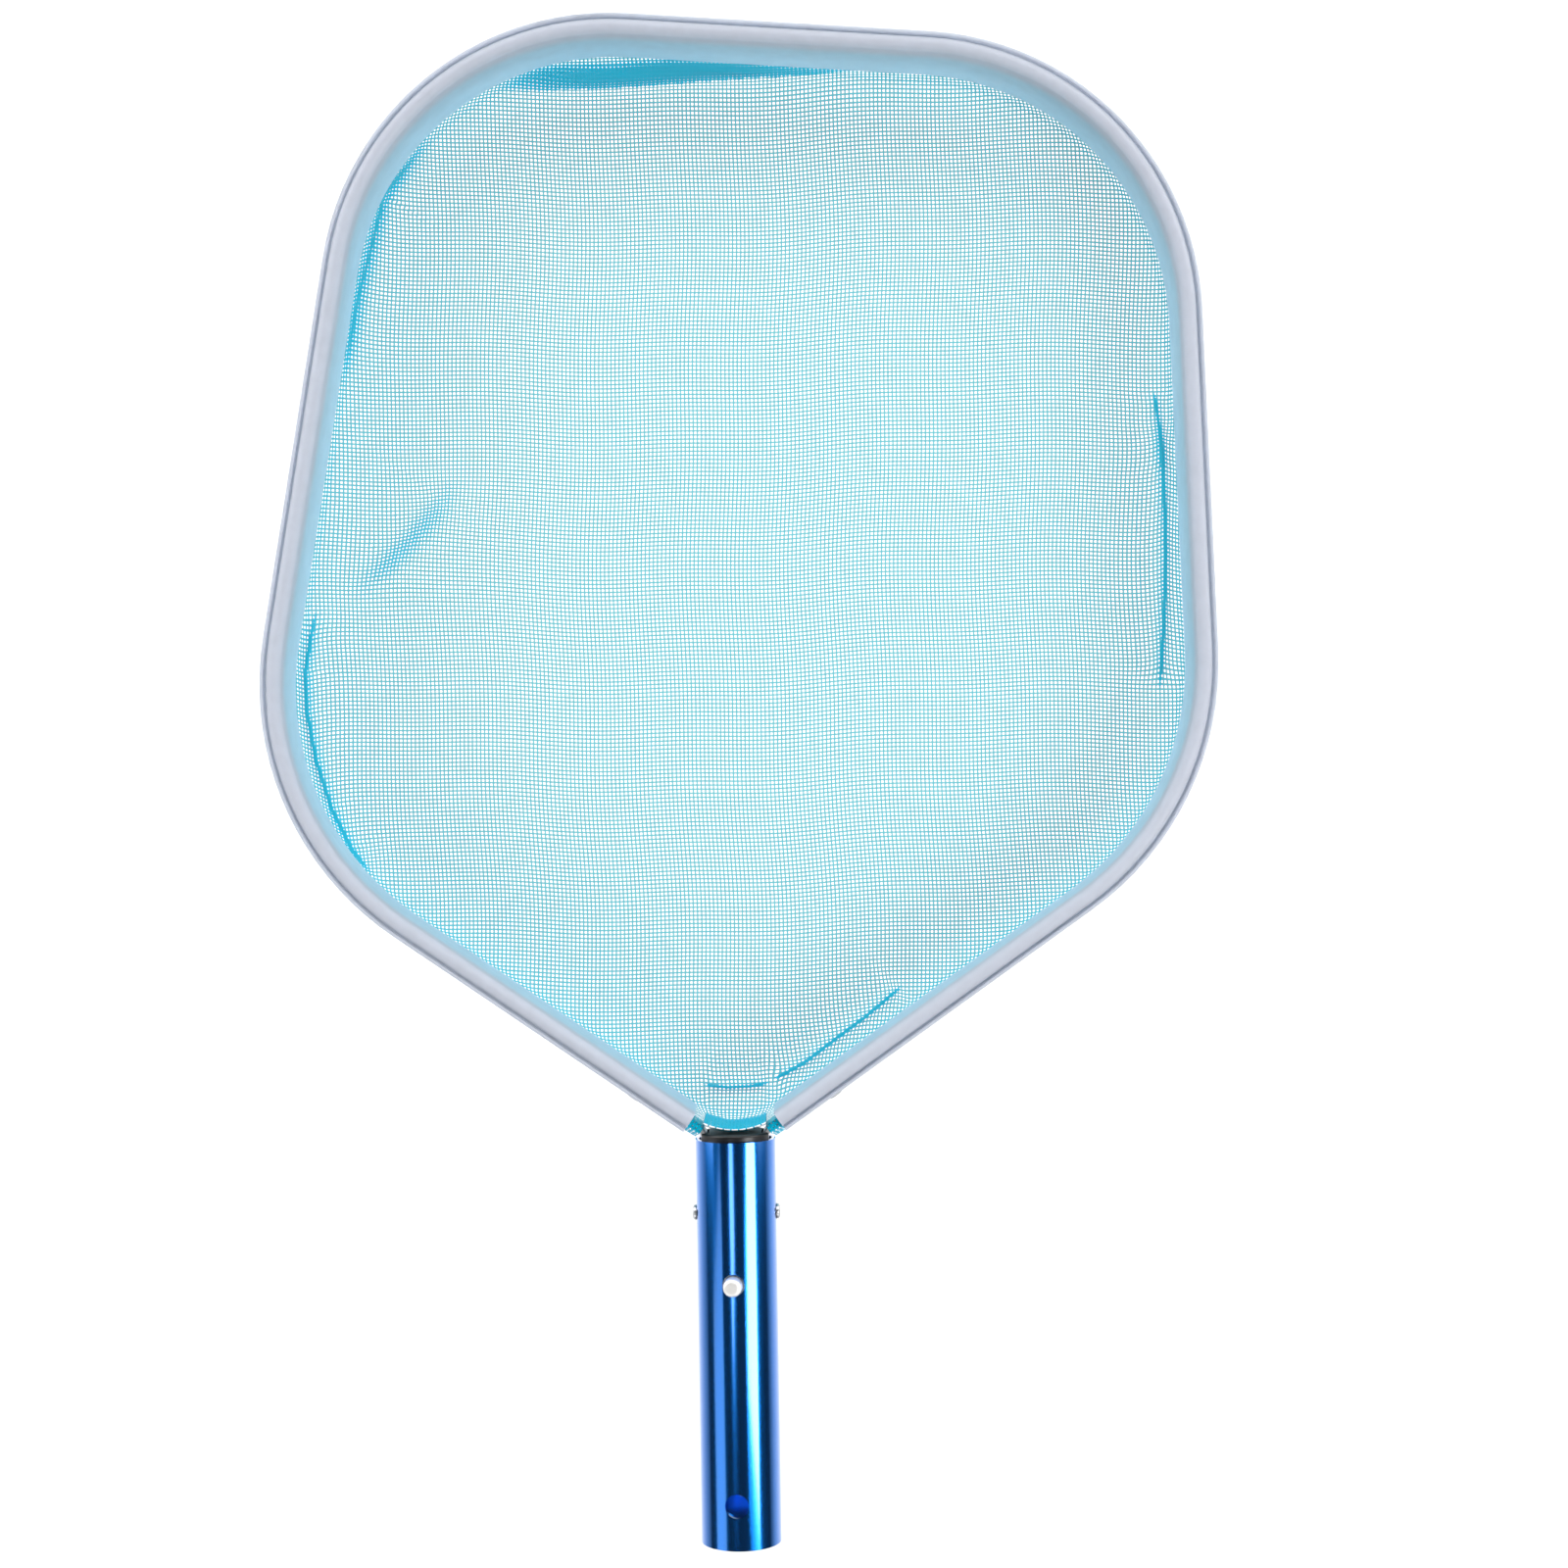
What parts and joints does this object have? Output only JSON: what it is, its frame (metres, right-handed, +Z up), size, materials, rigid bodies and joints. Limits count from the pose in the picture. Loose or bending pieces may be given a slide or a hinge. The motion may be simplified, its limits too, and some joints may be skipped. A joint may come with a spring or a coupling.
{
  "type": "leaf skimmer net",
  "caption": "Flat leaf skimmer head: mesh net in a riveted aluminium hoop with a PVC edge, on a short tube handle with snap buttons for a telescopic pool pole.",
  "frame": {"origin": "centre of the handle tube's open pole end, on the tube's axis", "axes": "+Y along the handle towards the hoop, +Z up out of the net's open side, +X across the hoop"},
  "size_m": [0.3383, 0.5415, 0.051],
  "materials": {
    "blue_anodised_aluminium": "bright",
    "mill_aluminium": "satin",
    "rivet_aluminium": "satin",
    "mandrel_steel": "satin",
    "spring_steel": "satin",
    "button_steel": "polished",
    "white_pvc": "satin",
    "black_plastic": "satin",
    "blue_mesh": "woven",
    "cord": "twisted",
    "white_thread": "twisted"
  },
  "bodies": {
    "head": {"handle_tube": "blue_anodised_aluminium", "mouth_plug": "black_plastic", "frame_bar": "mill_aluminium", "edge_profile": "white_pvc", "edge_cord": "cord", "net": "blue_mesh", "net_hem": "blue_mesh", "hem_stitches": "white_thread", "clip_spring": "spring_steel", "tube_rivet_left": "rivet_aluminium", "tube_mandrel_left": "mandrel_steel", "frame_rivet_left": "rivet_aluminium", "frame_mandrel_left": "mandrel_steel", "tube_rivet_right": "rivet_aluminium", "tube_mandrel_right": "mandrel_steel", "frame_rivet_right": "rivet_aluminium", "frame_mandrel_right": "mandrel_steel"},
    "button_front": {"snap_button_front": "button_steel"},
    "button_back": {"snap_button_back": "button_steel"}
  },
  "joints": [
    {"name": "front_button_press", "type": "slide", "parent": "head", "child": "button_front", "axis": [0.0872, 0, -0.9962], "range_m": [0, 0.0053], "stiffness_N_per_m": 1500, "springref_m": -0.001, "deforming": ["clip_spring"]},
    {"name": "back_button_press", "type": "slide", "parent": "head", "child": "button_back", "axis": [-0.0872, 0, 0.9962], "range_m": [0, 0.0053], "stiffness_N_per_m": 1500, "springref_m": -0.001}
  ]
}
